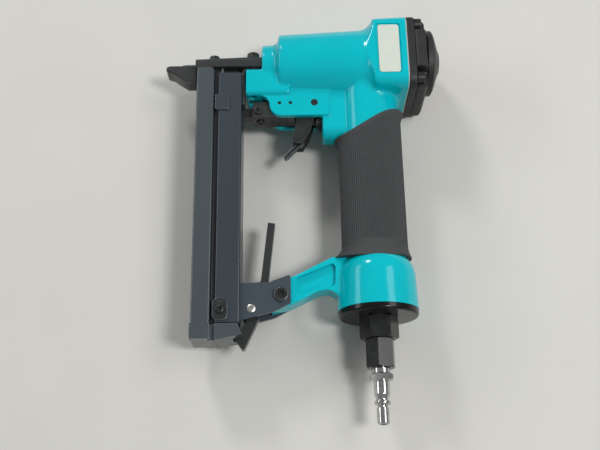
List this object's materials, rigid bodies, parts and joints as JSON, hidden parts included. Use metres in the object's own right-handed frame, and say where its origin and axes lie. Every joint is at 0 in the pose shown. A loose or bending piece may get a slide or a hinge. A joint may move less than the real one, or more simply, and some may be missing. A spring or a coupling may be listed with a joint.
{
  "type": "pneumatic stapler",
  "caption": "Air driven upholstery stapler: cast pistol body with a drive barrel and ribbed grip, a long bottom loading staple magazine, trigger, latch and plug-in air inlet.",
  "frame": {"origin": "in the mouth of the staple slot at the nose tip, on the drive line", "axes": "+X along the drive line from the nose to the head cap, +Y towards the tool's front face, away from the handle and the magazine, +Z out of the side that carries the label"},
  "size_m": [0.1592, 0.2285, 0.046],
  "materials": {
    "casting_paint": "gloss paint on the cast body",
    "label_film": "bare satin film",
    "grip_rubber": "ribbed matt",
    "seal_rubber": "matt",
    "gasket_sheet": "pale sheet",
    "cap_plastic": "moulded matt black",
    "magazine_steel": "satin blued sheet steel",
    "bracket_steel": "blackened sheet steel",
    "nose_steel": "dark hardened steel",
    "trigger_steel": "blackened sheet steel",
    "fastener_black": "black oxide",
    "inner_steel": "bright drawn steel",
    "piston_alloy": "turned alloy",
    "rivet_bright": "bright",
    "inlet_black": "gloss black",
    "plug_chrome": "plated"
  },
  "bodies": {
    "tool_body": {"body_casting": "casting_paint", "label_plate": "label_film", "grip_sleeve": "grip_rubber", "cylinder_sleeve": "piston_alloy", "cylinder_o_rings": "seal_rubber", "bumper": "seal_rubber", "head_valve_spring": "inner_steel", "cap_gasket": "gasket_sheet", "head_cap": "cap_plastic", "cap_bolts": "fastener_black", "exhaust_seal": "seal_rubber", "exhaust_screw": "fastener_black", "driver_guide": "nose_steel", "front_plate": "nose_steel", "front_plate_screws": "fastener_black", "nose_screws": "fastener_black", "support_strip": "bracket_steel", "magazine_channel": "magazine_steel", "guide_clip": "magazine_steel", "stop_plate": "magazine_steel", "stop_screw": "fastener_black", "magazine_lug": "bracket_steel", "front_bracket": "bracket_steel", "bracket_screws": "fastener_black", "roll_pins": "fastener_black", "rear_bracket": "bracket_steel", "rear_bolt": "fastener_black", "rear_nut": "fastener_black", "latch_rivet": "rivet_bright", "latch_spring": "inner_steel", "trigger_pin": "fastener_black", "valve_bushing": "cap_plastic", "valve_spring": "inner_steel", "butt_cap": "inlet_black", "butt_cap_seal": "seal_rubber", "inlet_bush": "inlet_black", "plug_adaptor": "inlet_black", "air_plug": "plug_chrome"},
    "piston_drive": {"piston": "piston_alloy", "piston_o_ring": "seal_rubber", "driver_blade": "inner_steel", "driver_pin": "inner_steel"},
    "head_valve": {"head_valve": "cap_plastic", "head_valve_o_ring": "seal_rubber"},
    "exhaust": {"exhaust_deflector": "cap_plastic"},
    "trigger": {"trigger": "trigger_steel", "safety_pin": "fastener_black"},
    "valve_stem": {"valve_stem": "inner_steel", "valve_o_ring": "seal_rubber"},
    "safety_lever": {"safety_lever": "trigger_steel"},
    "magazine_slide": {"slide_channel": "magazine_steel", "core_rail": "inner_steel", "slide_end_cap": "magazine_steel", "spring_rod": "inner_steel", "pusher_spring": "inner_steel"},
    "pusher": {"pusher": "cap_plastic"},
    "latch": {"latch_lever": "bracket_steel"}
  },
  "joints": [
    {"name": "piston_drive", "type": "slide", "parent": "tool_body", "child": "piston_drive", "axis": [-1, 0, 0], "range_m": [0, 0.042]},
    {"name": "head_valve", "type": "slide", "parent": "tool_body", "child": "head_valve", "axis": [1, 0, 0], "range_m": [0, 0.0025], "stiffness_N_per_m": 800, "springref_m": -0.004, "deforming": ["head_valve_spring"]},
    {"name": "exhaust_turn", "type": "hinge", "parent": "tool_body", "child": "exhaust", "pos_m": [0.1508, 0.0026, 0], "axis": [1, 0, 0], "continuous": true},
    {"name": "trigger", "type": "hinge", "parent": "tool_body", "child": "trigger", "pos_m": [0.0857, -0.027, 0], "axis": [0, 0, 1], "range_deg": [0, 10], "stiffness_Nm_per_rad": 0.4, "springref_deg": -8.59},
    {"name": "valve_stem", "type": "slide", "parent": "tool_body", "child": "valve_stem", "axis": [1, 0, 0], "range_m": [0, 0.0018], "deforming": ["valve_spring"]},
    {"name": "safety_lever", "type": "hinge", "parent": "trigger", "child": "safety_lever", "pos_m": [0.0775, -0.0481, 0], "axis": [0, 0, 1], "range_deg": [0, 20], "stiffness_Nm_per_rad": 0.02, "springref_deg": -17.19},
    {"name": "magazine_slide", "type": "slide", "parent": "tool_body", "child": "magazine_slide", "axis": [0, -1, 0], "range_m": [0, 0.11]},
    {"name": "pusher", "type": "slide", "parent": "magazine_slide", "child": "pusher", "axis": [0, -1, 0], "range_m": [0, 0.095], "stiffness_N_per_m": 40, "springref_m": -0.15, "deforming": ["pusher_spring"]},
    {"name": "latch", "type": "hinge", "parent": "tool_body", "child": "latch", "pos_m": [0.0502, -0.1462, 0], "axis": [0, 0, 1], "range_deg": [0, 14], "stiffness_Nm_per_rad": 0.1, "springref_deg": -22.92, "deforming": ["latch_spring"]}
  ],
  "couplings": [
    {"joint": "valve_stem", "follows": "trigger", "m_per_rad": 0.0098}
  ]
}
